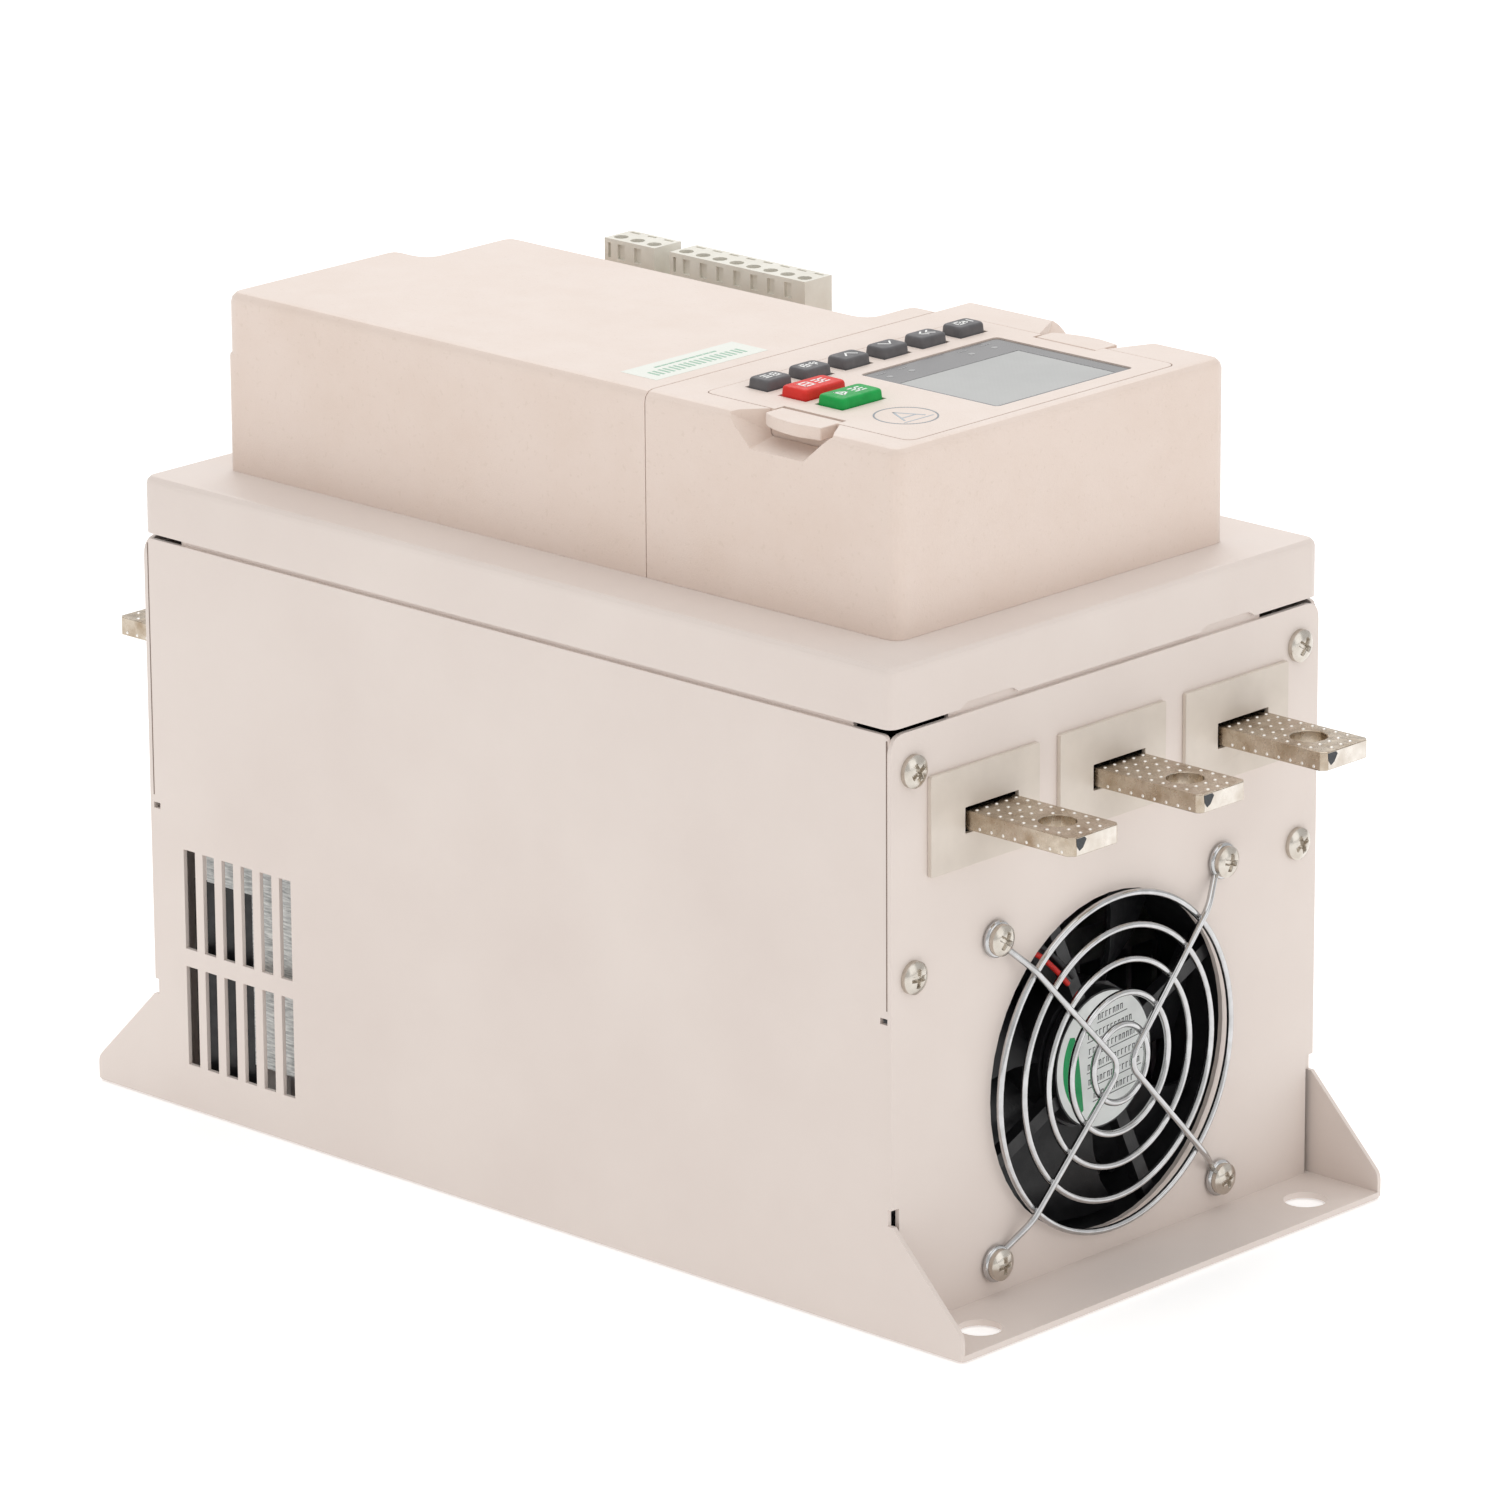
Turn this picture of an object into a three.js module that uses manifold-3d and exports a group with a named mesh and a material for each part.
// Three-phase motor controller with flat busbar terminals, lying on its back plate.
// Millimetres. +X points to the fan end, +Z points away from the mounting surface (z = 0),
// and the origin is at the middle of the back plate's underside.

import * as THREE from "three";
import { mergeVertices } from "three/addons/utils/BufferGeometryUtils.js";
import { ConvexGeometry } from "three/addons/geometries/ConvexGeometry.js";
import Module from "manifold-3d";

const wasm = await Module();
wasm.setup();

// ---------------------------------------------------------------- driving dimensions

const FIT = 0.3; // gap between pieces that only just clear each other
const CUT = 5; // how far a cutting solid runs past the piece that it cuts

const body = { halfLength: 163.5, halfWidth: 99, wallTop: 191.6, sheet: 1.5, plate: 2 };
const flange = { length: 29, gussetTop: 36.3, gussetToe: 8, holeInset: 16.2, holeSide: 76.8, hole: 14 };
const panel = { thick: 1.6, shoulder: 41.6, narrowing: 3.4, cornerRadius: 6 };
const lid = { bottom: 193.3, top: 212.4, sheet: 1.3, cornerRadius: 4, edge: 2.8 };
const lidNotch = { width: 27.4, side: 55, height: 1.8 };
const wirePassage = { x0: -130, x1: -80, halfWidth: 30 };
const vent = { first: -148.4, pitch: 8.96, width: 5.4, count: 6, height: 33.9, rows: [15.3, 55.2] };

const fan = { z: 64.8, size: 119, depth: 25, bore: 57.8, opening: 54.5, screwSpacing: 105 };
const fanHub = { radius: 22.4, face: 161.6, back: 156.2, strutBack: 156.4, strutFront: 160.6, strutTurn: 25 };
const rotor = { back: 138.6, front: 155.4, hub: 23.5, hollow: 19, floor: 140.8, tip: 56.4, blades: 7 };
const bar = { width: 22, thick: 6, pitch: 58.4, offset: 2.8, hole: 12, holeInset: 15.5, chamfer: 1.6 };
const frontBar = { top: 161.5, end: 207 };
const rearBar = { top: 148.3, end: -212.4 };
const plateCover = { width: 49, height: 31.8, thick: 1.6, slotWidth: 24, slotHeight: 8.2, rise: 1.3 };
const panelScrew = { side: 89.5, high: 179, low: 114 };

const housing = {
  rear: -146.6,
  front: 145.3,
  near: -76.3,
  far: 75.1,
  base: lid.top,
  top: 271.9,
  wall: 2.5,
  edge: 3.5,
  seam: 40.4,
  step: 252,
};
const keypad = { rear: 54.7, front: 140.3, near: -65.3, far: 57, depth: 19.8, corner: 4 };
const keyRow = { x: 64.7, length: 8.9, width: 12, first: 42, pitch: -17.6 };
const wideKey = { length: 11, width: 19, y: -43.1, stopX: 80.2, startX: 95.5 };
const keyCapHeight = { bottom: 266.2, top: 275.2, travelRoom: 1.4, sideRoom: 0.4 };
const glass = { x0: 76, x1: 133, y0: -18, y1: 45, thick: 1.6, sink: 0.4 };
const lcd = { x0: 91, x1: 131, y0: -16, y1: 38.5 };
const latch = { x0: 84.9, x1: 110, reach: 11.4, root: 3.3, thick: 4.2, gap: 1.2, endGap: 0.4 };
const latchEdge = { bow: 4, bowRun: 6, tipRun: 8, tipDrop: 1.5 };

const plug = { pitch: 7.5, y0: 49, y1: 61.7, top: 274.3, bottom: 258.1 };
const plugScrew = { inset: 4, radius: 2.5, depth: 4 };
const plugSlot = { halfX: 2, outer: 2.6, inner: 1.4, depth: 1 };
const plugEntry = { halfX: 1.9, depth: 6, low: 3, high: 7.6 };
const plugRecess = { first: 0.6, others: 1.6, firstInset: 1.6, depth: 1, low: 6.4, high: 1.4 };
const plugs = [
  { name: "terminal_plug_3way", x0: -99.3, ways: 3 },
  { name: "terminal_plug_8way", x0: -69.8, ways: 8 },
];

const sink = {
  x0: -112,
  x1: 118,
  halfWidth: 88,
  finBottom: 6,
  baseBottom: 76,
  top: 88,
  fin: 2.4,
  fins: 15,
};
const thyristor = { length: 94, width: 34, top: 120 };

// ---------------------------------------------------------------- materials

const paint = { color: 0xded3ca, roughness: 0.5, metalness: 0.1 };
const plastic = { color: 0xe0cfc1, roughness: 0.55, metalness: 0 };
const insulator = { color: 0xcdc6be, roughness: 0.45, metalness: 0 };
const plated = { color: 0xb9aea2, roughness: 0.3, metalness: 0.9 };
const chrome = { color: 0xd8d8d8, roughness: 0.15, metalness: 1 };
const aluminium = { color: 0xb8babc, roughness: 0.4, metalness: 0.9 };
const blackPlastic = { color: 0x1b1b1d, roughness: 0.5, metalness: 0 };
const terminalGrey = { color: 0xcfcdc4, roughness: 0.55, metalness: 0 };
const darkKey = { color: 0x6a696b, roughness: 0.6, metalness: 0 };
const redKey = { color: 0xe0352b, roughness: 0.5, metalness: 0 };
const greenKey = { color: 0x0fa14c, roughness: 0.5, metalness: 0 };
const darkGlass = { color: 0x7c7b7d, roughness: 0.15, metalness: 0 };
const lcdGrey = { color: 0xbfc1c0, roughness: 0.25, metalness: 0 };
const boardGreen = { color: 0x1f6a45, roughness: 0.5, metalness: 0 };

// ---------------------------------------------------------------- solids

function solidOf(geometry) {
  const bare = geometry.index ? geometry.toNonIndexed() : geometry.clone();
  bare.deleteAttribute("normal");
  bare.deleteAttribute("uv");
  const merged = mergeVertices(bare, 1e-4);
  return new wasm.Manifold(
    new wasm.Mesh({
      numProp: 3,
      vertProperties: new Float32Array(merged.attributes.position.array),
      triVerts: new Uint32Array(merged.index.array),
    }),
  );
}

const TIDY = 0.003; // booleans leave slivers finer than this, which are merged away

function geometryOf(solid) {
  const mesh = solid.simplify(TIDY).getMesh();
  const indexed = new THREE.BufferGeometry();
  indexed.setAttribute("position", new THREE.BufferAttribute(mesh.vertProperties, 3));
  indexed.setIndex(new THREE.BufferAttribute(mesh.triVerts, 1));
  const flat = indexed.toNonIndexed();
  flat.computeVertexNormals();
  return flat;
}

function union(solids) {
  return solids.reduce((whole, next) => whole.add(next));
}

function box(x0, x1, y0, y1, z0, z1) {
  const geometry = new THREE.BoxGeometry(x1 - x0, y1 - y0, z1 - z0);
  return solidOf(geometry.translate((x0 + x1) / 2, (y0 + y1) / 2, (z0 + z1) / 2));
}

// A shape drawn in the plane across an axis, pushed along that axis from one value to another.
// Across X it is drawn as (y, z), across Y as (x, z), and across Z as (x, y).
function prism(shape, axis, from, to, options = {}) {
  const geometry = new THREE.ExtrudeGeometry(shape, {
    depth: to - from,
    bevelEnabled: false,
    curveSegments: 6,
    ...options,
  });
  const placed = {
    x: new THREE.Matrix4().set(0, 0, 1, from, 1, 0, 0, 0, 0, 1, 0, 0, 0, 0, 0, 1),
    y: new THREE.Matrix4().set(1, 0, 0, 0, 0, 0, -1, to, 0, 1, 0, 0, 0, 0, 0, 1),
    z: new THREE.Matrix4().makeTranslation(0, 0, from),
  };
  return solidOf(geometry.applyMatrix4(placed[axis]));
}

// A closed outline whose corners are rounded: each point is [x, y] or [x, y, radius].
function outline(points, radius = 0) {
  const shape = new THREE.Shape();
  const corners = points.map(([x, y, own]) => ({ at: new THREE.Vector2(x, y), r: own ?? radius }));
  corners.forEach(({ at, r }, i) => {
    const before = corners.at(i - 1).at;
    const after = corners[(i + 1) % corners.length].at;
    const start = at.clone().add(before.clone().sub(at).setLength(r));
    const end = at.clone().add(after.clone().sub(at).setLength(r));
    if (i === 0) shape.moveTo(start.x, start.y);
    else shape.lineTo(start.x, start.y);
    if (r > 0) shape.quadraticCurveTo(at.x, at.y, end.x, end.y);
  });
  shape.closePath();
  return shape;
}

function rectangle(x0, x1, y0, y1, radius = 0) {
  return outline([[x0, y0], [x1, y0], [x1, y1], [x0, y1]], radius);
}

function disc(x, y, radius) {
  return new THREE.Shape().absarc(x, y, radius, 0, Math.PI * 2);
}

// A round bar along an axis, centred at two coordinates across it.
function rod(axis, a, b, radius, from, to, curveSegments = 10) {
  return prism(disc(a, b, radius), axis, from, to, { curveSegments });
}

// A block standing on z0 whose upright corners and top edges are rounded.
function cushionBlock(points, radius, z0, z1, edge) {
  const rounded = {
    bevelEnabled: true,
    bevelThickness: edge,
    bevelSize: edge,
    bevelOffset: -edge,
    bevelSegments: 3,
    curveSegments: 4,
  };
  const tall = prism(outline(points, radius), "z", z0 - edge - 1, z1 - edge, rounded);
  return tall.subtract(box(-500, 500, -500, 500, z0 - 3 * edge - CUT, z0));
}

const root = new THREE.Group();

function add(name, solid, material) {
  const mesh = new THREE.Mesh(geometryOf(solid), new THREE.MeshStandardMaterial(material));
  mesh.name = name;
  root.add(mesh);
}

const barCentres = [-1, 0, 1].map((i) => i * bar.pitch + bar.offset);
const coverCentres = [-1, 0, 1].map((i) => i * bar.pitch);

// ---------------------------------------------------------------- base chassis

function sideWall() {
  const tip = body.halfLength + flange.length - 0.3;
  const end = body.halfLength - panel.thick;
  const half = [
    [tip, 0.4],
    [tip, flange.gussetToe, 2],
    [body.halfLength + 0.6, flange.gussetTop],
    [end, flange.gussetTop],
    [end, body.wallTop, 2],
  ];
  const mirrored = half.map(([x, z, r]) => [-x, z, r]).reverse();
  let wall = prism(outline([...half, ...mirrored]), "y", 0, body.sheet, { curveSegments: 3 });
  for (const z0 of vent.rows) {
    for (let i = 0; i < vent.count; i++) {
      const x0 = vent.first + i * vent.pitch;
      wall = wall.subtract(box(x0, x0 + vent.width, -1, body.sheet + 1, z0, z0 + vent.height));
    }
  }
  return wall;
}

function chassis() {
  const tip = body.halfLength + flange.length;
  const w = body.halfWidth;
  const plateShape = rectangle(-tip, tip, -w, w, 2);
  for (const x of [-1, 1]) {
    for (const y of [-1, 1]) {
      plateShape.holes.push(
        disc(x * (body.halfLength + flange.holeInset), y * flange.holeSide, flange.hole / 2),
      );
    }
  }
  const pieces = [prism(plateShape, "z", 0, body.plate, { curveSegments: 12 })];
  const stripHalf = 147; // reach of the strip that stands up inside the lid's rim
  const returnDepth = 17;
  const returnBottom = 102.5;
  const end = body.halfLength - panel.thick;
  for (const side of [-1, 1]) {
    const outer = side * w;
    pieces.push(sideWall().translate(0, side > 0 ? w - body.sheet : -w, 0));
    const strip = [outer - side * (body.sheet - 0.1), outer - side * 2 * body.sheet].sort((a, b) => a - b);
    pieces.push(box(-stripHalf, stripHalf, ...strip, body.wallTop - 12, lid.bottom + 10));
    const lip = [outer - side * 0.5, outer - side * returnDepth].sort((a, b) => a - b);
    for (const x of [-1, 1]) {
      const across = [x * (end - body.sheet), x * end].sort((a, b) => a - b);
      pieces.push(box(...across, ...lip, returnBottom, body.wallTop - 2));
    }
  }
  let whole = union(pieces);
  for (const x of [-1, 1]) {
    for (const y of [-1, 1]) {
      for (const z of [panelScrew.high, panelScrew.low]) {
        const across = [x * (end - CUT), x * (end + 1)].sort((a, b) => a - b);
        whole = whole.subtract(rod("x", y * panelScrew.side, z, 2.4, ...across, 5));
      }
      const notch = [x * (end - 3), x * (end + 1)].sort((a, b) => a - b);
      const edge = [y * (w - 3), y * (w + 1)].sort((a, b) => a - b);
      whole = whole.subtract(box(...notch, ...edge, returnBottom - 2, returnBottom));
    }
  }
  return whole;
}

add("base_chassis", chassis(), paint);

// ---------------------------------------------------------------- end panels

function endPanel(barTop, openings) {
  const w = body.halfWidth;
  const waist = w - panel.narrowing;
  const shape = outline([
    [-waist, body.plate],
    [waist, body.plate],
    [waist, panel.shoulder],
    [w, panel.shoulder],
    [w, body.wallTop, panel.cornerRadius],
    [-w, body.wallTop, panel.cornerRadius],
    [-w, panel.shoulder],
    [-waist, panel.shoulder],
  ]);
  for (const y of barCentres) {
    const middle = barTop - bar.thick / 2;
    shape.holes.push(rectangle(y - 16, y + 16, middle - 9, middle + 9, 2));
  }
  for (const side of [-1, 1]) {
    for (const z of [panelScrew.high, panelScrew.low]) {
      shape.holes.push(disc(side * panelScrew.side, z, 2.4));
    }
  }
  const sheet = prism(shape, "x", 0, panel.thick);
  const tongue = box(-body.sheet, 0.1, -72, 72, body.wallTop - 8, lid.bottom + 10);
  return sheet.add(tongue).subtract(openings);
}

function fanHoles() {
  const holes = [rod("x", 0, fan.z, fan.opening, -CUT, CUT, 24)];
  for (const y of [-1, 1]) {
    for (const z of [-1, 1]) {
      const place = [(y * fan.screwSpacing) / 2, fan.z + (z * fan.screwSpacing) / 2];
      holes.push(rod("x", ...place, 2.4, -CUT, CUT, 5));
    }
  }
  return union(holes);
}

function outletSlots() {
  const slots = [];
  const columns = 14;
  const pitch = 12;
  for (const z0 of vent.rows) {
    for (let i = 0; i < columns; i++) {
      const y = (i - (columns - 1) / 2) * pitch;
      slots.push(box(-CUT, CUT, y - vent.width / 2, y + vent.width / 2, z0, z0 + vent.height));
    }
  }
  return union(slots);
}

const panelBack = body.halfLength - panel.thick;
add("fan_end_panel", endPanel(frontBar.top, fanHoles()).translate(panelBack, 0, 0), paint);
add(
  "rear_end_panel",
  endPanel(rearBar.top, outletSlots()).rotate(0, 0, 180).mirror([0, 1, 0]).translate(-panelBack, 0, 0),
  paint,
);

// ---------------------------------------------------------------- lid

function topLid() {
  const x = body.halfLength;
  const y = body.halfWidth;
  const rectanglePoints = (inset) => [
    [-x + inset, -y + inset],
    [x - inset, -y + inset],
    [x - inset, y - inset],
    [-x + inset, y - inset],
  ];
  let whole = cushionBlock(rectanglePoints(0), lid.cornerRadius, lid.bottom, lid.top, lid.edge);
  const hollow = outline(rectanglePoints(lid.sheet), lid.cornerRadius - lid.sheet);
  whole = whole.subtract(prism(hollow, "z", lid.bottom - CUT, lid.top - lid.sheet, { curveSegments: 4 }));
  for (const side of [-1, 1]) {
    const y0 = side * lidNotch.side - lidNotch.width / 2;
    const arch = outline([
      [y0, lid.bottom - 1],
      [y0 + lidNotch.width, lid.bottom - 1],
      [y0 + lidNotch.width - 2, lid.bottom + lidNotch.height, 3],
      [y0 + 2, lid.bottom + lidNotch.height, 3],
    ]);
    whole = whole.subtract(prism(arch, "x", x - CUT, x + CUT));
  }
  const { x0, x1, halfWidth } = wirePassage;
  const passage = rectangle(x0, x1, -halfWidth, halfWidth, 6);
  return whole.subtract(prism(passage, "z", lid.top - CUT, lid.top + CUT));
}

add("top_lid", topLid(), paint);

// ---------------------------------------------------------------- screws

// A pan-head cross screw pointing along +X with the underside of its head at x = 0.
function panScrew(headRadius, headHeight, shankRadius, shankLength) {
  const profile = new THREE.Path();
  profile.moveTo(0, -shankLength);
  profile.lineTo(shankRadius, -shankLength);
  profile.lineTo(shankRadius, 0);
  profile.lineTo(headRadius, 0);
  profile.lineTo(headRadius, headHeight * 0.35);
  profile.quadraticCurveTo(headRadius * 0.85, headHeight, 0, headHeight);
  const lathe = new THREE.LatheGeometry(profile.getPoints(4), 16);
  let screw = solidOf(lathe.rotateZ(-Math.PI / 2));
  const arm = headRadius * 0.5;
  const slot = headRadius * 0.13;
  screw = screw.subtract(box(headHeight * 0.35, headHeight + 1, -arm, arm, -slot, slot));
  return screw.subtract(box(headHeight * 0.35, headHeight + 1, -slot, slot, -arm, arm));
}

function panelScrews(prefix, direction) {
  let index = 1;
  for (const z of [panelScrew.high, panelScrew.low]) {
    for (const y of [-1, 1]) {
      const screw = panScrew(5.2, 3, 2, 8).rotate(28 * index, 0, direction > 0 ? 0 : 180);
      const place = [direction * body.halfLength, y * panelScrew.side, z];
      add(`${prefix}_${index}`, screw.translate(...place), chrome);
      index += 1;
    }
  }
}

panelScrews("fan_panel_screw", 1);
panelScrews("rear_panel_screw", -1);

// ---------------------------------------------------------------- cooling fan

const fanFront = panelBack - 0.1;
const fanBack = fanFront - fan.depth;

function fanFrame() {
  const half = fan.size / 2;
  const lip = 4; // thickness of the two square ends that the round duct joins
  const square = prism(rectangle(-half, half, fan.z - half, fan.z + half, 5), "x", fanBack, fanFront);
  const beyond = half + 1;
  const middleShape = rectangle(-beyond, beyond, fan.z - beyond, fan.z + beyond);
  const middle = prism(middleShape, "x", fanBack + lip, fanFront - lip);
  const duct = rod("x", 0, fan.z, fan.bore + 1.6, fanBack + lip - 1, fanFront - lip + 1, 20);
  let whole = square.subtract(middle).add(duct);
  whole = whole.subtract(rod("x", 0, fan.z, fan.bore, fanBack - CUT, fanFront + CUT, 20));
  for (const y of [-1, 1]) {
    for (const z of [-1, 1]) {
      const place = [(y * fan.screwSpacing) / 2, fan.z + (z * fan.screwSpacing) / 2];
      whole = whole.subtract(rod("x", ...place, 2.4, fanBack - CUT, fanFront + CUT, 4));
    }
  }
  const hub = rod("x", 0, fan.z, fanHub.radius, fanHub.back, fanHub.face, 12);
  const stator = rod("x", 0, fan.z, 16.5, rotor.floor + 1.2, fanHub.back + 0.2, 5);
  const strut = box(fanHub.strutBack, fanHub.strutFront, 15, fan.bore + 0.8, -2.4, 2.4);
  const struts = [0, 1, 2, 3].map((i) => strut.rotate(fanHub.strutTurn + 90 * i, 0, 0));
  return union([whole, hub, stator, ...struts.map((each) => each.translate(0, 0, fan.z))]);
}

// One blade: a thin plate swept round the axis and twisted towards its tip.
function fanBlade(rootRadius, tipRadius, x0, x1) {
  const plate = new THREE.BoxGeometry(1, 1, 1, 1, 3, 4);
  const place = plate.attributes.position;
  for (let i = 0; i < place.count; i++) {
    const along = place.getY(i) + 0.5;
    const chord = place.getZ(i);
    const radius = rootRadius + along * (tipRadius - rootRadius);
    const turn = chord * (0.62 + 0.06 * along) + 0.16 * along * along;
    const rise = (x0 + x1) / 2 + chord * (x1 - x0) * (1 - 0.25 * along) + place.getX(i) * 1.8;
    place.setXYZ(i, rise, radius * Math.cos(turn), radius * Math.sin(turn));
  }
  return solidOf(plate);
}

function fanRotor() {
  const cup = rod("x", 0, 0, rotor.hub, rotor.back, rotor.front, 8);
  const hollow = rod("x", 0, 0, rotor.hollow, rotor.floor, rotor.front + 1, 6);
  const blade = fanBlade(rotor.hub - 1.5, rotor.tip, rotor.back + 0.6, rotor.front - 1.2);
  const blades = Array.from({ length: rotor.blades }, (_, i) => {
    return blade.rotate((360 / rotor.blades) * i, 0, 0);
  });
  return union([cup, ...blades]).subtract(hollow).translate(0, 0, fan.z);
}

add("fan_frame", fanFrame(), blackPlastic);
add("fan_rotor", fanRotor(), blackPlastic);

// Welded wire guard: five rings that rise towards the middle, and two bent spokes over them.
const guard = {
  wire: 1.1,
  radii: [12.5, 22.6, 33, 43.8, 54],
  rises: [5.1, 4.9, 4.6, 4.3, 3.6],
  eye: 4.9,
  knee: { side: 41, rise: 5.4 },
  middle: { side: 4, up: 2.4, rise: 6.9 },
};

function wire(points, radius = guard.wire) {
  const path = new THREE.CurvePath();
  for (let i = 1; i < points.length; i++) path.add(new THREE.LineCurve3(points[i - 1], points[i]));
  const geometry = new THREE.ExtrudeGeometry(disc(0, 0, radius), {
    steps: points.length - 1,
    extrudePath: path,
    curveSegments: 3,
    bevelEnabled: false,
  });
  return solidOf(geometry);
}

function fanGuard() {
  const ring = (radius, x, segments) => {
    const torus = new THREE.TorusGeometry(radius, guard.wire, 5, segments);
    return solidOf(torus.rotateY(Math.PI / 2)).translate(x, 0, 0);
  };
  const rings = guard.radii.map((radius, i) => ring(radius, guard.rises[i], radius > 30 ? 32 : 20));
  const corner = fan.screwSpacing / 2;
  const eyes = [];
  const spokes = [];
  for (const side of [-1, 1]) {
    for (const up of [-1, 1]) {
      eyes.push(ring(guard.eye, guard.wire, 14).translate(0, side * corner, up * corner));
      const reach = corner - guard.eye * Math.SQRT1_2;
      const { knee, middle } = guard;
      const start = new THREE.Vector3(guard.wire, side * reach, up * reach);
      const bend = new THREE.Vector3(knee.rise, side * knee.side, up * knee.side);
      const inner = new THREE.Vector3(middle.rise, side * middle.side, up * middle.up);
      const across = new THREE.Vector3(middle.rise, side * middle.side, -up * middle.up);
      spokes.push(wire([start, bend]), wire([bend, inner]), wire([inner, across]));
      for (const { x, y, z } of [bend, inner]) {
        spokes.push(solidOf(new THREE.SphereGeometry(guard.wire, 6, 5)).translate(x, y, z));
      }
    }
  }
  return union([...rings, ...eyes, ...spokes]).translate(body.halfLength, 0, fan.z);
}

add("fan_guard", fanGuard(), chrome);

let guardScrewIndex = 1;
for (const z of [1, -1]) {
  for (const y of [-1, 1]) {
    const screw = panScrew(5, 2.8, 1.9, 12).rotate(20 * guardScrewIndex, 0, 0);
    const place = [
      body.halfLength + 2 * guard.wire + 0.1,
      (y * fan.screwSpacing) / 2,
      fan.z + (z * fan.screwSpacing) / 2,
    ];
    add(`fan_guard_screw_${guardScrewIndex}`, screw.translate(...place), chrome);
    guardScrewIndex += 1;
  }
}

// ---------------------------------------------------------------- busbars and insulating plates

function slottedCover(barTop) {
  const middle = barTop - bar.thick / 2 + plateCover.rise;
  const half = plateCover.width / 2;
  const shape = rectangle(-half, half, middle - plateCover.height / 2, middle + plateCover.height / 2, 0.6);
  const slotMiddle = barTop - bar.thick / 2 + 0.1;
  const slot = rectangle(
    bar.offset - plateCover.slotWidth / 2,
    bar.offset + plateCover.slotWidth / 2,
    slotMiddle - plateCover.slotHeight / 2,
    slotMiddle + plateCover.slotHeight / 2,
  );
  shape.holes.push(slot);
  return prism(shape, "x", 0, plateCover.thick, { curveSegments: 2 });
}

// A bar that runs in at terminal height and steps down to sit on a thyristor module.
function busbar(end, top, y) {
  const side = Math.sign(end);
  const low = thyristor.top + 0.3;
  const stepOut = 46 * side;
  const stepIn = 40 * side;
  const foot = 8 * side;
  const points = [
    [end, top],
    [end, top - bar.thick],
    [stepOut, top - bar.thick],
    [stepOut, low],
    [foot, low],
    [foot, low + bar.thick],
    [stepIn, low + bar.thick],
    [stepIn, top],
  ];
  const profile = outline(side > 0 ? points.reverse() : points);
  let whole = prism(profile, "y", y - bar.width / 2, y + bar.width / 2);
  const holeX = end - side * bar.holeInset;
  whole = whole.subtract(rod("z", holeX, y, bar.hole / 2, top - bar.thick - 1, top + 1, 6));
  for (const edge of [-1, 1]) {
    const corner = outline([
      [end + side, y + edge * (bar.width / 2 - bar.chamfer - 1)],
      [end + side, y + edge * (bar.width / 2 + 1)],
      [end - side * (bar.chamfer + 1), y + edge * (bar.width / 2 + 1)],
    ]);
    whole = whole.subtract(prism(corner, "z", top - bar.thick - 1, top + 1));
  }
  return whole;
}

barCentres.forEach((y, i) => {
  add(`front_busbar_${i + 1}`, busbar(frontBar.end, frontBar.top, y), plated);
  add(`rear_busbar_${i + 1}`, busbar(rearBar.end, rearBar.top, y), plated);
});

coverCentres.forEach((y, i) => {
  const front = slottedCover(frontBar.top).translate(body.halfLength, y, 0);
  add(`front_insulating_plate_${i + 1}`, front, insulator);
  const rear = slottedCover(rearBar.top).translate(-body.halfLength - plateCover.thick, y, 0);
  add(`rear_insulating_plate_${i + 1}`, rear, insulator);
});

// ---------------------------------------------------------------- power parts inside

function heatSink() {
  const pieces = [box(sink.x0, sink.x1, -sink.halfWidth, sink.halfWidth, sink.baseBottom, sink.top)];
  const pitch = (2 * sink.halfWidth - sink.fin) / (sink.fins - 1);
  for (let i = 0; i < sink.fins; i++) {
    const y0 = -sink.halfWidth + i * pitch;
    pieces.push(box(sink.x0, sink.x1, y0, y0 + sink.fin, sink.finBottom, sink.baseBottom + 1));
  }
  const foot = (y0) => box(sink.x0, sink.x1, y0, y0 + 12, body.plate + 0.1, sink.finBottom + 2);
  pieces.push(foot(-sink.halfWidth), foot(sink.halfWidth - 12));
  return union(pieces);
}

function thyristorModule(y) {
  const half = thyristor.length / 2;
  const w = thyristor.width / 2;
  const bodyBlock = box(-half, half, y - w, y + w, sink.top + 6, thyristor.top - 4);
  const basePlate = box(-half - 6, half + 6, y - w + 2, y + w - 2, sink.top + 0.1, sink.top + 6.5);
  const pads = [-28, 28].map((x) => box(x - 12, x + 12, y - 9, y + 9, thyristor.top - 4.5, thyristor.top));
  return union([bodyBlock, basePlate, ...pads]);
}

const transformer = { x0: 92, x1: 112, halfWidth: 24, halfHeight: 22, windowWidth: 26, windowHeight: 11 };

function currentTransformer(y) {
  const middle = frontBar.top - bar.thick / 2;
  const shape = rectangle(
    y - transformer.halfWidth,
    y + transformer.halfWidth,
    middle - transformer.halfHeight,
    middle + transformer.halfHeight,
    6,
  );
  const w = transformer.windowWidth / 2;
  const h = transformer.windowHeight / 2;
  shape.holes.push(rectangle(y - w, y + w, middle - h, middle + h));
  return prism(shape, "x", transformer.x0, transformer.x1, { curveSegments: 3 });
}

add("heat_sink", heatSink(), aluminium);
barCentres.forEach((y, i) => {
  add(`thyristor_module_${i + 1}`, thyristorModule(y), blackPlastic);
  add(`current_transformer_${i + 1}`, currentTransformer(y), blackPlastic);
});

// Bypass contactor: a block hung under the lid, with a cross tunnel for its moving contact carrier.
const contactor = { halfX: 62, halfY: 86, bottom: 172, top: lid.top - lid.sheet - 0.1 };
const tunnel = { halfX: 16, bottom: 178, top: 200 };
const contactorLeg = { x0: 42, x1: 58, halfY: 9 };
const carrierBeam = { halfX: 6, halfY: 82, bottom: 183, top: 191 };
const carrierBridge = { halfX: 14.5, halfY: 7, bottom: 184, top: 187 };

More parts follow.
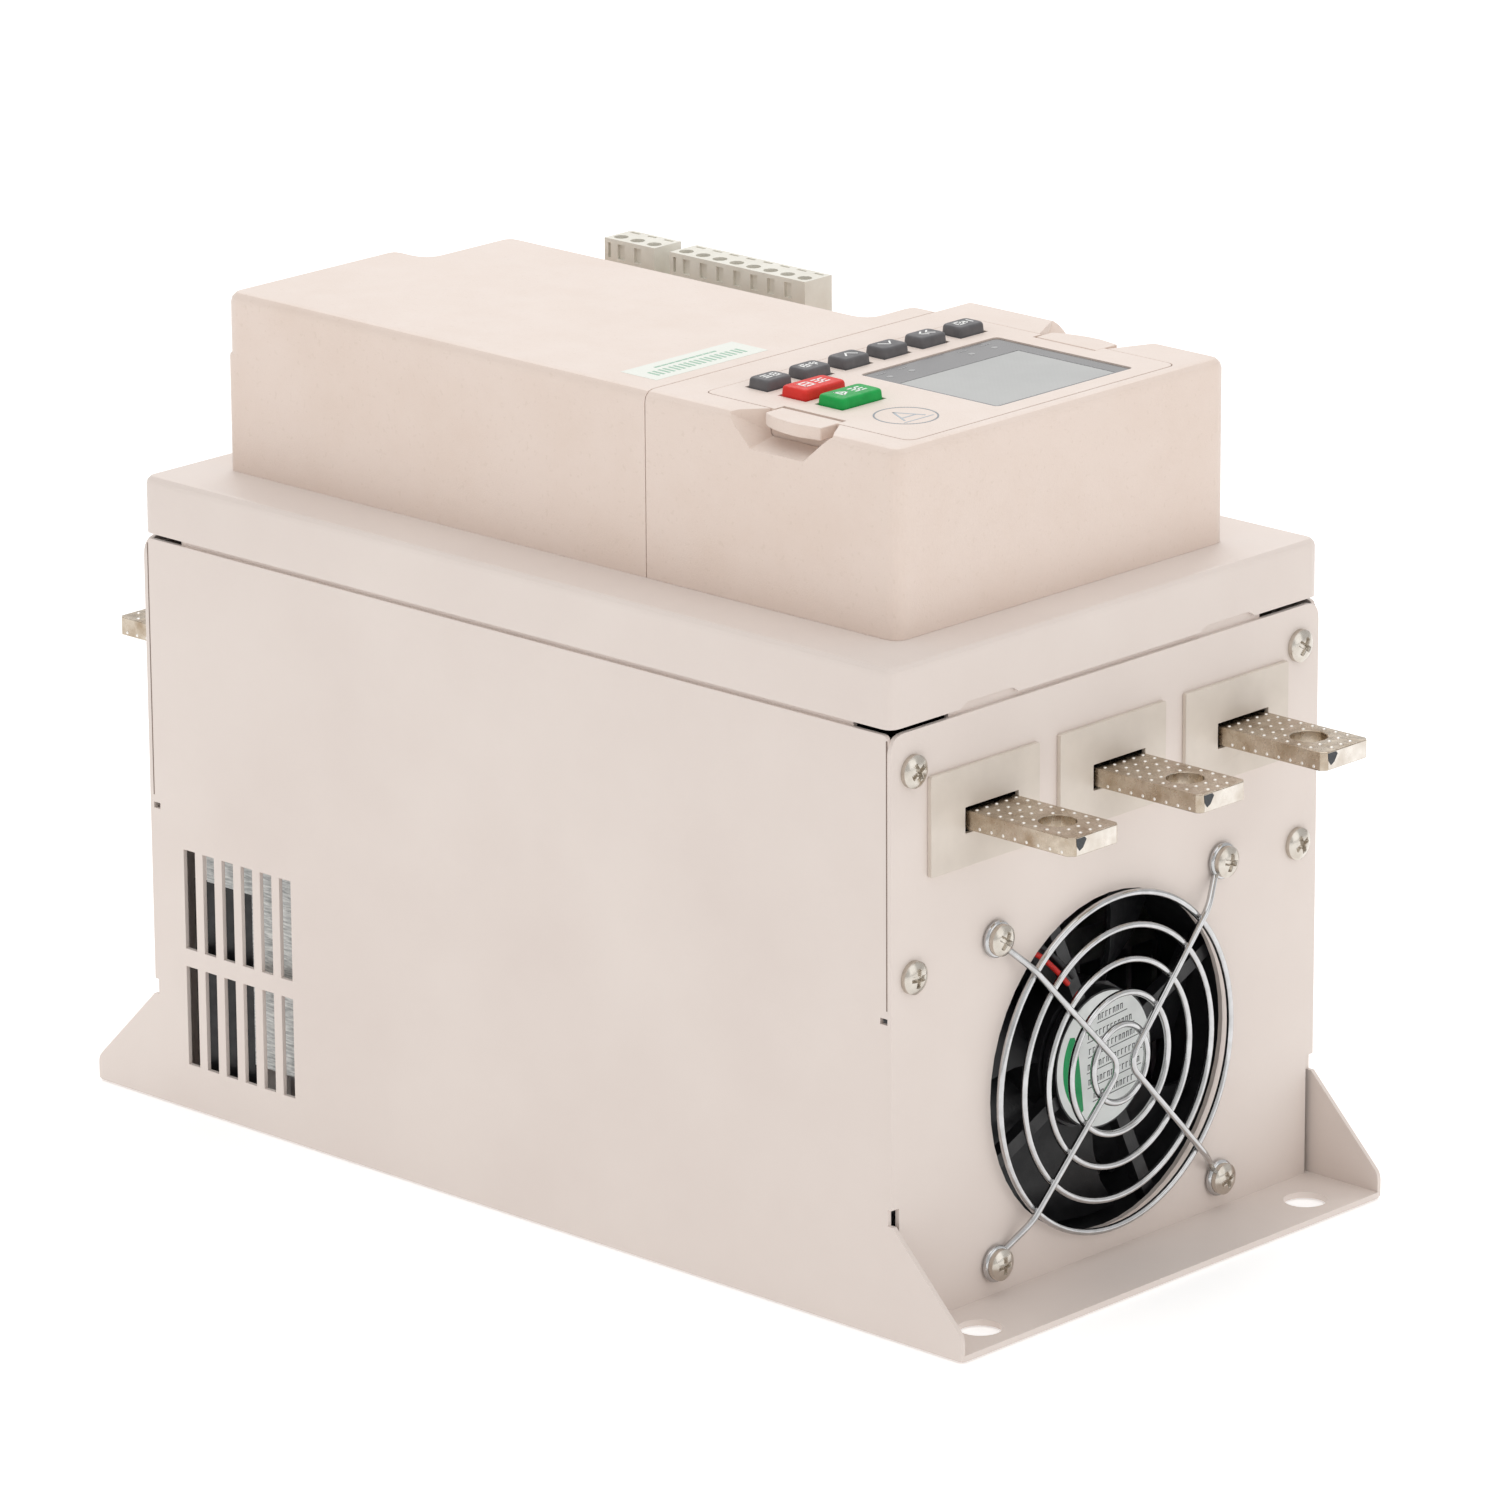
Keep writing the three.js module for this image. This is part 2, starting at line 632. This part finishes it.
function contactorBody() {
  const { halfX, halfY, bottom, top } = contactor;
  const { x0: legX0, x1: legX1, halfY: legHalfY } = contactorLeg;
  const block = box(-halfX, halfX, -halfY, halfY, bottom, top);
  const legs = barCentres.flatMap((y) => [
    box(legX0, legX1, y - legHalfY, y + legHalfY, frontBar.top + 0.1, bottom + 1),
    box(-legX1, -legX0, y - legHalfY, y + legHalfY, rearBar.top + 0.1, bottom + 1),
  ]);
  const way = box(-tunnel.halfX, tunnel.halfX, -halfY - 1, halfY + 1, tunnel.bottom, tunnel.top);
  return union([block, ...legs]).subtract(way);
}

function contactorCarrier() {
  const block = ({ halfX, halfY, bottom, top }, y = 0) =>
    box(-halfX, halfX, y - halfY, y + halfY, bottom, top);
  return union([block(carrierBeam), ...barCentres.map((y) => block(carrierBridge, y))]);
}

add("contactor_body", contactorBody(), blackPlastic);
add("contactor_carrier", contactorCarrier(), terminalGrey);

// ---------------------------------------------------------------- control housing, rear half

// Outline of the housing's raised part: it stands back from the plugs and leaves the rear corner low.
const raisedPart = { plugX0: -131.5, plugX1: 28, plugY: 37.5, seamY: 58.5, cornerY: -0.5 };
const seamRun = 20; // how far the shape of each housing half is drawn past the seam before it is cut
const acrossAll = 200; // half-width of a cut that goes right across the housing

function rearHousing() {
  const { rear, near, far, base, top, wall, edge, seam, step } = housing;
  const { plugX0, plugX1, plugY, seamY, cornerY } = raisedPart;
  const past = seam + seamRun;
  const full = [[rear, near], [past, near], [past, far], [rear, far]];
  const raised = (inset) => [
    [rear + inset, near + inset],
    [past, near + inset],
    [past, seamY - inset],
    [plugX1 + inset, seamY - inset],
    [plugX1 + inset, plugY - inset],
    [plugX0 + inset, plugY - inset],
    [plugX0 + inset, cornerY - inset],
    [rear + inset, cornerY - inset],
  ];
  const low = cushionBlock(full, 3, base, step, 1.5);
  const high = cushionBlock(raised(0), 5, base, top, edge);
  const lowRoom = box(rear + wall, seam - wall, near + wall, far - wall, base - 1, step - wall);
  const highRoom = prism(outline(raised(wall)), "z", base - 1, top - wall);
  const seamWall = box(seam - wall, past + 1, -acrossAll, acrossAll, base - 2, top);
  const rooms = lowRoom.add(highRoom.subtract(seamWall));
  let whole = low.add(high).subtract(rooms);
  for (const { x0, ways } of plugs) {
    whole = whole.subtract(box(x0, x0 + ways * plug.pitch, plug.y0, plug.y1, step - 2 * wall, step + 1));
  }
  const beyondSeam = box(seam - FIT / 2, past + CUT, -acrossAll, acrossAll, base - CUT, top + CUT);
  return whole.subtract(beyondSeam);
}

const circuitBoard = { x0: -140, x1: 34, y0: -70, y1: 69, thick: 1.6 };

function controlBoard() {
  const { x0: boardX0, x1: boardX1, y0, y1, thick } = circuitBoard;
  const top = housing.step - housing.wall - 0.1;
  const board = box(boardX0, boardX1, y0, y1, top - thick, top);
  const headers = plugs.map(({ x0, ways }) => {
    const x1 = x0 + ways * plug.pitch;
    return box(x0 + 0.5, x1 - 0.5, plug.y0 + 0.5, plug.y1 - 0.5, top - 0.5, plug.bottom - FIT);
  });
  return union([board, ...headers]);
}

// A plug-on block: screw wells on top, wire entries on the outer side, shallow marks on the inner side.
// Each way has a screw well and a test slot on top, a wire entry outside and a recess inside.
function terminalPlug({ x0, ways }) {
  const { pitch, y0, y1, top, bottom } = plug;
  const { halfX, depth, low, high } = plugEntry;
  let whole = box(x0, x0 + ways * pitch, y0, y1, bottom, top);
  for (let i = 0; i < ways; i++) {
    const left = x0 + i * pitch;
    const x = left + pitch / 2;
    const well = rod("z", x, y0 + plugScrew.inset, plugScrew.radius, top - plugScrew.depth, top + 1, 5);
    const slotY = [y1 - plugSlot.outer, y1 - plugSlot.inner];
    const slot = box(x - plugSlot.halfX, x + plugSlot.halfX, ...slotY, top - plugSlot.depth, top + 1);
    const entry = box(x - halfX, x + halfX, y1 - depth, y1 + 1, bottom + low, bottom + high);
    const half = i === 0 ? plugRecess.first : plugRecess.others;
    const recessX = left + (i === 0 ? plugRecess.firstInset : -half);
    const recessY = [y0 - 1, y0 + plugRecess.depth];
    const recessZ = [top - plugRecess.low, top - plugRecess.high];
    const recess = box(recessX, recessX + 2 * half, ...recessY, ...recessZ);
    whole = whole.subtract(well).subtract(slot).subtract(entry).subtract(recess);
  }
  return whole;
}

add("rear_housing", rearHousing(), plastic);
add("control_board", controlBoard(), boardGreen);
plugs.forEach((each) => add(each.name, terminalPlug(each), terminalGrey));

// ---------------------------------------------------------------- control housing, front half

const scoop = {
  rim: { x0: 72.5, x1: 120 },
  inner: { x0: 84, x1: 111, floor: 263.5 },
  mouth: { x0: 85, x1: 106, floor: 261.3 },
  over: 1.5,
  past: 2,
};

// The finger scoop beside a latch, cut from the housing's long side.
function fingerScoop(side) {
  const { rim, inner: back, mouth } = scoop;
  const above = housing.top + scoop.over;
  const face = side > 0 ? housing.far : housing.near;
  const inner = side > 0 ? keypad.far - 1 : keypad.near + 1;
  const outer = face + side * scoop.past;
  const points = [
    [rim.x0, outer, above],
    [rim.x1, outer, above],
    [back.x1, inner, above],
    [back.x0, inner, above],
    [mouth.x0, outer, mouth.floor],
    [mouth.x1, outer, mouth.floor],
    [back.x1, inner, back.floor],
    [back.x0, inner, back.floor],
  ].map(([x, y, z]) => new THREE.Vector3(x, y, z));
  return solidOf(new ConvexGeometry(points));
}

function frontHousing() {
  const { front, near, far, base, top, wall, edge, seam } = housing;
  const behind = seam - seamRun;
  const outer = [[behind, near], [front, near], [front, far], [behind, far]];
  let whole = cushionBlock(outer, 5, base, top, edge);
  const pocketFloor = top - keypad.depth - FIT;
  const room = box(seam + wall, front - wall, near + wall, far - wall, base - 1, pocketFloor - wall);
  const pocketShape = rectangle(keypad.rear, keypad.front, keypad.near, keypad.far, keypad.corner);
  const pocket = prism(pocketShape, "z", pocketFloor, top + 1);
  const beyondSeam = box(behind - CUT, seam + FIT / 2, -acrossAll, acrossAll, base - CUT, top + CUT);
  whole = whole.subtract(beyondSeam);
  return whole.subtract(room).subtract(pocket).subtract(fingerScoop(-1)).subtract(fingerScoop(1));
}

add("front_housing", frontHousing(), plastic);

// ---------------------------------------------------------------- keypad

const smallKeys = ["key_exit", "key_back", "key_down", "key_up", "key_set", "key_menu"];
const keys = smallKeys.map((name, i) => ({
  name,
  x: keyRow.x,
  y: keyRow.first + i * keyRow.pitch,
  length: keyRow.length,
  width: keyRow.width,
  material: darkKey,
}));
keys.push({ name: "key_stop", x: wideKey.stopX, y: wideKey.y, ...wideKey, material: redKey });
keys.push({ name: "key_start", x: wideKey.startX, y: wideKey.y, ...wideKey, material: greenKey });

function keypadCase() {
  const { rear, front, near, far, depth, corner } = keypad;
  const top = housing.top;
  const gap = FIT;
  const shape = rectangle(rear + gap, front - gap, near + gap, far - gap, corner);
  let whole = prism(shape, "z", top - depth, top);
  const slab = 9;
  whole = whole.subtract(box(rear + 2.5, front - 2.5, near + 4, far - 4, top - depth - 1, top - slab));
  const windowShape = rectangle(glass.x0, glass.x1, glass.y0, glass.y1, 2);
  whole = whole.subtract(prism(windowShape, "z", top - glass.thick - glass.sink, top + 1));
  for (const key of keys) {
    const x = key.length / 2 + keyCapHeight.sideRoom;
    const y = key.width / 2 + keyCapHeight.sideRoom;
    const floor = keyCapHeight.bottom - keyCapHeight.travelRoom;
    whole = whole.subtract(box(key.x - x, key.x + x, key.y - y, key.y + y, floor, top + 1));
  }
  for (const side of [-1, 1]) {
    const edgeY = side > 0 ? far : near;
    const across = [edgeY - side * (latch.root + latch.gap), edgeY + side * 2].sort((a, b) => a - b);
    const along = [latch.x0 - latch.endGap, latch.x1 + latch.endGap];
    whole = whole.subtract(box(...along, ...across, top - latch.thick - latch.endGap, top + 1));
  }
  return whole;
}

function keyCap(key) {
  const x = key.length / 2;
  const y = key.width / 2;
  const points = [
    [key.x - x, key.y - y],
    [key.x + x, key.y - y],
    [key.x + x, key.y + y],
    [key.x - x, key.y + y],
  ];
  return cushionBlock(points, 1.6, keyCapHeight.bottom, keyCapHeight.top, 1.2);
}

// A sprung tab whose outer edge is bowed, flush with the keypad's top.
function latchTab(side) {
  const edgeY = side > 0 ? keypad.far : keypad.near;
  const innerY = edgeY - side * latch.root;
  const outerY = innerY + side * latch.reach;
  const shape = new THREE.Shape();
  shape.moveTo(latch.x0, innerY);
  shape.lineTo(latch.x0, outerY - side * latchEdge.bow);
  shape.quadraticCurveTo(latch.x0 + latchEdge.bowRun, outerY, latch.x1 - latchEdge.tipRun, outerY);
  shape.lineTo(latch.x1, outerY - side * latchEdge.tipDrop);
  shape.lineTo(latch.x1, innerY);
  shape.closePath();
  return prism(shape, "z", housing.top - latch.thick, housing.top - 0.1);
}

function frameAround(outer, inner, z0, z1) {
  const shape = rectangle(outer.x0, outer.x1, outer.y0, outer.y1, 2);
  shape.holes.push(rectangle(inner.x0, inner.x1, inner.y0, inner.y1, 0.5));
  return prism(shape, "z", z0, z1, { curveSegments: 3 });
}

function grown(area, by) {
  return { x0: area.x0 - by, x1: area.x1 + by, y0: area.y0 - by, y1: area.y1 + by };
}

const glassBottom = housing.top - glass.sink - glass.thick;
const glassTop = housing.top - glass.sink;
add("keypad_case", keypadCase(), plastic);
add("display_window", frameAround(grown(glass, -0.1), lcd, glassBottom, glassTop), darkGlass);
const screen = grown(lcd, -0.1);
const screenShape = rectangle(screen.x0, screen.x1, screen.y0, screen.y1, 0.5);
add("lcd_panel", prism(screenShape, "z", glassBottom, glassTop - 0.1), lcdGrey);
for (const key of keys) add(key.name, keyCap(key), key.material);
add("latch_near", latchTab(-1), plastic);
add("latch_far", latchTab(1), plastic);

export default root;
